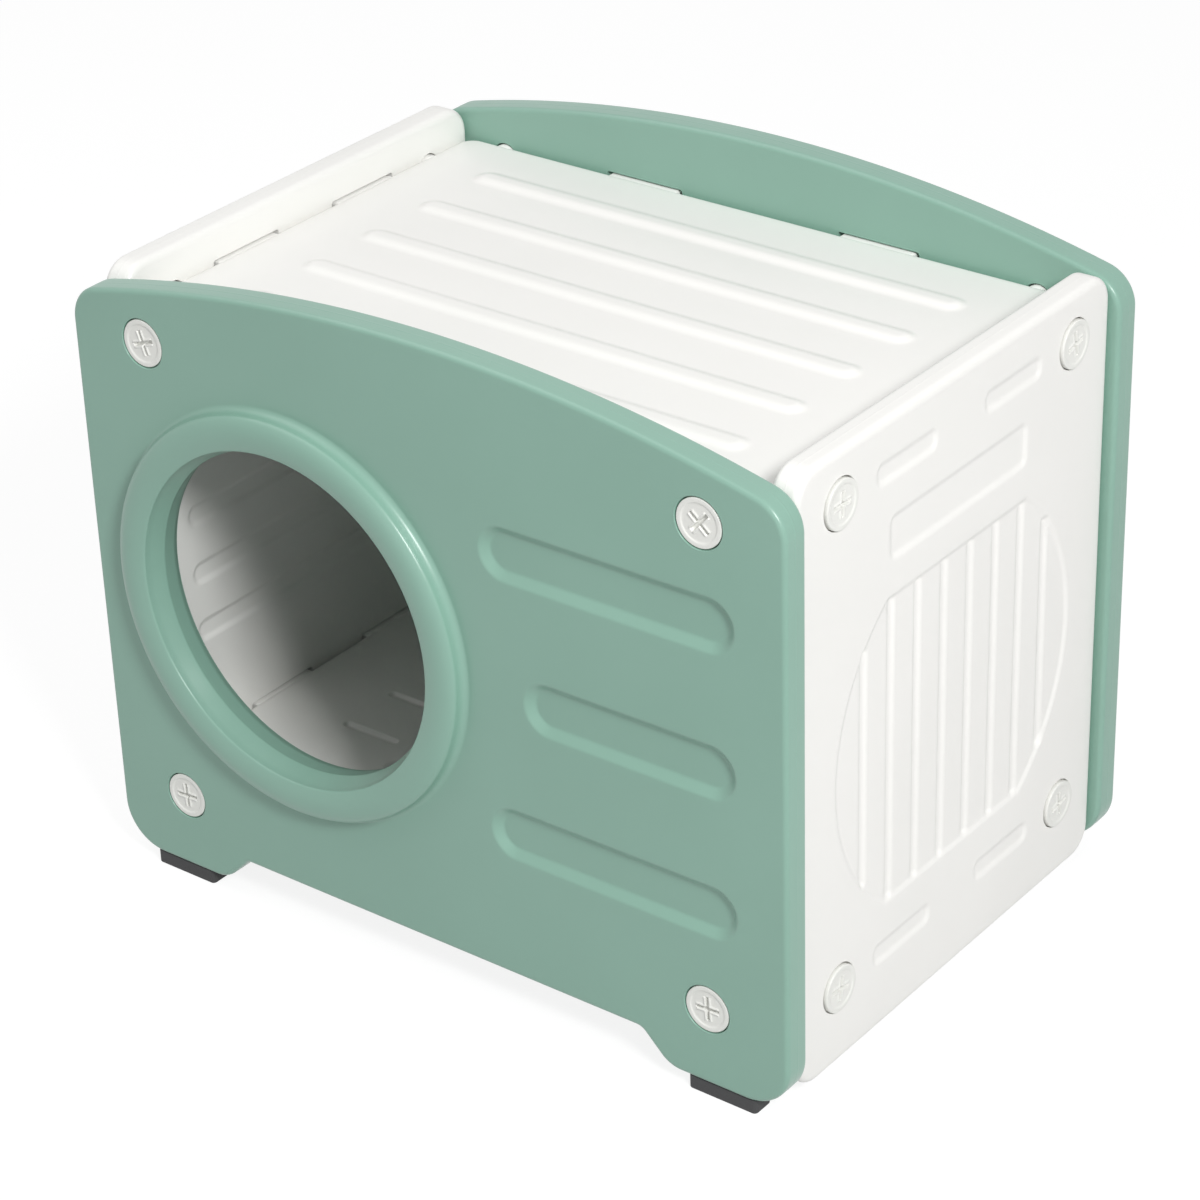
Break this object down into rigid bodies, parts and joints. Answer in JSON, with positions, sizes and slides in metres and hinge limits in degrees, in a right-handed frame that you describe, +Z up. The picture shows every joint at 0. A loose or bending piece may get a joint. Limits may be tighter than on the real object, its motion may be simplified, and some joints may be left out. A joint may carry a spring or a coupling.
{
  "type": "outdoor cat house",
  "caption": "Free-standing box-shaped cat house with a round entrance, made of hollow moulded panels held by large plastic screws, on rubber feet.",
  "frame": {"origin": "on the ground, under the middle of the whole, entrance ring included", "axes": "+X to the right as seen from the front, along the longest side; +Y from the entrance side to the rear, along the shortest side; +Z up"},
  "size_m": [0.55, 0.399, 0.4584],
  "materials": {
    "green_plastic": "satin sage green, fine moulded grain",
    "white_plastic": "satin white, fine moulded grain",
    "screw_plastic": "satin off-white, injection moulded",
    "black_rubber": "matt black"
  },
  "bodies": {
    "root": {"front_panel": "green_plastic", "rear_panel": "green_plastic", "left_panel": "white_plastic", "right_panel": "white_plastic", "roof_panel": "white_plastic", "floor_panel": "white_plastic", "front_screw_upper_left": "screw_plastic", "front_screw_upper_right": "screw_plastic", "front_screw_lower_left": "screw_plastic", "front_screw_lower_right": "screw_plastic", "rear_screw_upper_left": "screw_plastic", "rear_screw_upper_right": "screw_plastic", "rear_screw_lower_left": "screw_plastic", "rear_screw_lower_right": "screw_plastic", "left_screw_upper_front": "screw_plastic", "left_screw_upper_rear": "screw_plastic", "left_screw_lower_front": "screw_plastic", "left_screw_lower_rear": "screw_plastic", "right_screw_upper_front": "screw_plastic", "right_screw_upper_rear": "screw_plastic", "right_screw_lower_front": "screw_plastic", "right_screw_lower_rear": "screw_plastic", "foot_front_left": "black_rubber", "foot_front_right": "black_rubber", "foot_rear_left": "black_rubber", "foot_rear_right": "black_rubber"}
  },
  "joints": []
}
